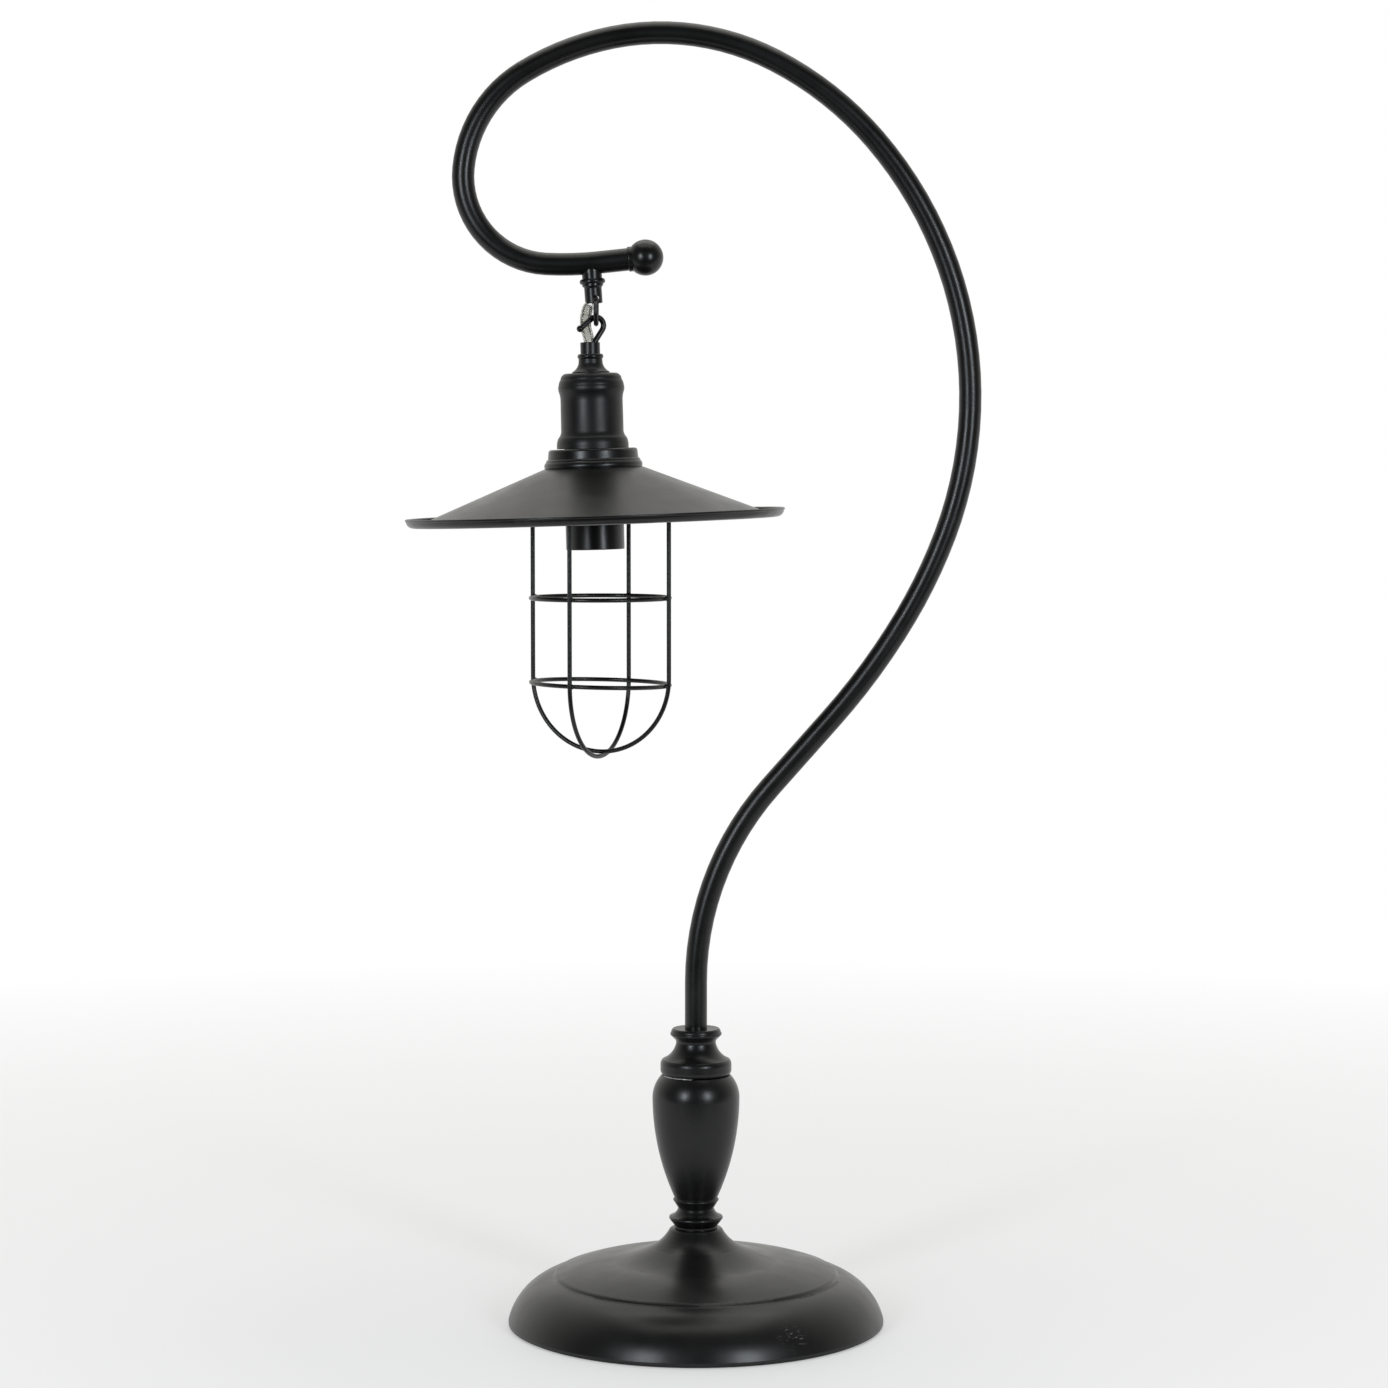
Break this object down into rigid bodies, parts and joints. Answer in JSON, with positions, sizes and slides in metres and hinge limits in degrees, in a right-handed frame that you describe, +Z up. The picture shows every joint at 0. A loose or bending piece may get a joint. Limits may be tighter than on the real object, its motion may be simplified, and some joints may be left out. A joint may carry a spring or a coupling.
{
  "type": "hanging barn lantern table lamp",
  "caption": "Satin black table lamp: a wire-cage barn lantern with a conical shade hangs by a hook and link from a shepherd's-crook tube on a turned column and domed base.",
  "frame": {"origin": "centre of the felt face that the lamp rests on", "axes": "+Z up along the column, +X the side that the crook first leans to, away from the lantern, and -Y the front"},
  "size_m": [0.3466, 0.2304, 0.7868],
  "materials": {
    "black_steel": "satin black powder coat with a fine orange peel",
    "cast_iron": "rough sand-cast iron",
    "plain_steel": "zinc-plated steel",
    "felt": "black pressed felt",
    "black_plastic": "black moulded nylon",
    "phenolic": "black moulded phenolic",
    "insulating_board": "brown vulcanised fibre",
    "brass": "plain pressed brass",
    "clear_pvc": "clear flexible PVC over tinned copper strands"
  },
  "bodies": {
    "stand": {"base_shell": "black_steel", "base_weight": "cast_iron", "base_cover": "plain_steel", "felt_pad": "felt", "inlet_bushing": "black_plastic", "threaded_rod": "plain_steel", "rod_nut": "plain_steel", "rod_washer": "plain_steel", "neck_knob": "black_steel", "column_vase": "black_steel", "column_collar": "black_steel", "tube_coupling": "plain_steel", "crook_tube": "black_steel", "end_ball": "black_steel", "stand_lead": "clear_pvc", "hanger_boss": "black_steel", "hanger_flange": "black_steel", "hanger_nipple": "plain_steel", "hanger_cup": "black_steel", "clear_lead": "clear_pvc"},
    "link": {"hanger_link": "black_steel"},
    "lantern": {"lantern_hook": "black_steel", "hook_cup": "black_steel", "nipple_ring": "black_steel", "cap_bell": "black_steel", "lantern_nipple": "plain_steel", "nipple_nut": "plain_steel", "socket_cap": "black_steel", "shade": "black_steel", "socket_body": "phenolic", "socket_shell": "brass", "socket_disc": "insulating_board", "contact_rivet": "brass", "terminal_screws": "brass", "socket_ring": "black_steel", "cage_plate": "black_steel", "cage_hoop_front": "black_steel", "cage_hoop_under": "black_steel", "cage_ring_upper": "black_steel", "cage_ring_lower": "black_steel", "socket_lead": "clear_pvc"},
    "contact": {"contact_leaf": "brass"}
  },
  "joints": [
    {"name": "link_swing", "type": "hinge", "parent": "stand", "child": "link", "pos_m": [-0.05992, 0, 0.62216], "axis": [0, 1, 0], "range_deg": [-25, 25], "deforming": ["clear_lead"]},
    {"name": "lantern_swing", "type": "hinge", "parent": "link", "child": "lantern", "pos_m": [-0.05992, 0, 0.61101], "axis": [1, 0, 0], "range_deg": [-20, 20]},
    {"name": "contact_press", "type": "hinge", "parent": "lantern", "child": "contact", "pos_m": [-0.0522, 0, 0.49775], "axis": [0, 1, 0], "range_deg": [0, 10], "stiffness_Nm_per_rad": 0.4}
  ]
}
